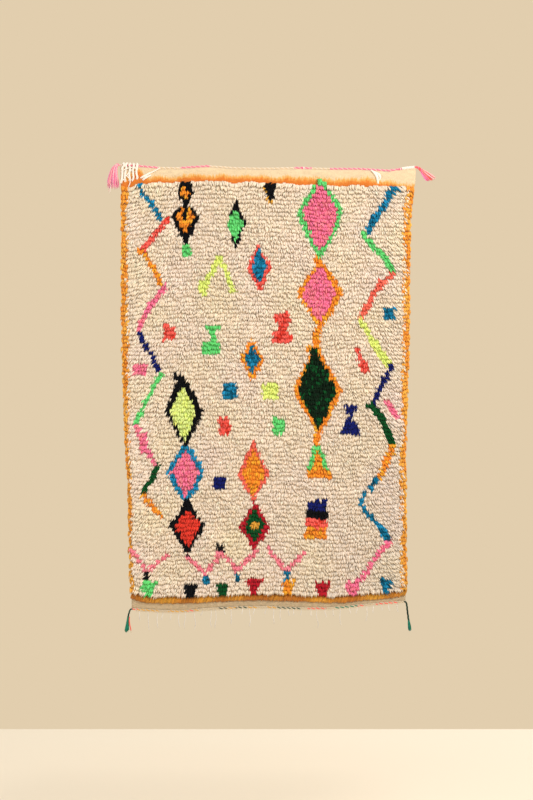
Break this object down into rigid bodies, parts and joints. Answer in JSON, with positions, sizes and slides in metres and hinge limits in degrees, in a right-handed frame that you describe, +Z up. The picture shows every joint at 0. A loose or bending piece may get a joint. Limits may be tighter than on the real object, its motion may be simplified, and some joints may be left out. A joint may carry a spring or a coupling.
{
  "type": "azilal rug",
  "caption": "Small hand-knotted wool rug hung by its folded heading, with deep pile, twisted end cords, corner tassels and loose warp ends at the foot.",
  "frame": {"origin": "middle of the heading's upper edge, on the back face", "axes": "+Z up towards the heading, +Y out of the flat back towards the wall, +X to the viewer's right"},
  "size_m": [1.0978, 0.029, 1.5538],
  "materials": {
    "pile": "cream wool pile with coloured motifs",
    "top_cord": "pink and white plied wool",
    "bottom_cord": "coral, orange, green and white plied wool",
    "warp": "off-white spun warp ends",
    "lashing": "white wool yarn",
    "coral_tuft": "pink and coral wool yarn",
    "green_tuft": "dark green wool yarn"
  },
  "bodies": {
    "root": {"rug": "pile", "top_cord": "top_cord", "bottom_cord": "bottom_cord", "bottom_fringe": "warp", "corner_lashing": "lashing", "heading_stitch_left": "lashing", "heading_stitch_right": "lashing", "tassel_top_left": "coral_tuft", "tassel_top_right": "coral_tuft", "tassel_bottom_left": "green_tuft", "tassel_bottom_right": "green_tuft"}
  },
  "joints": []
}
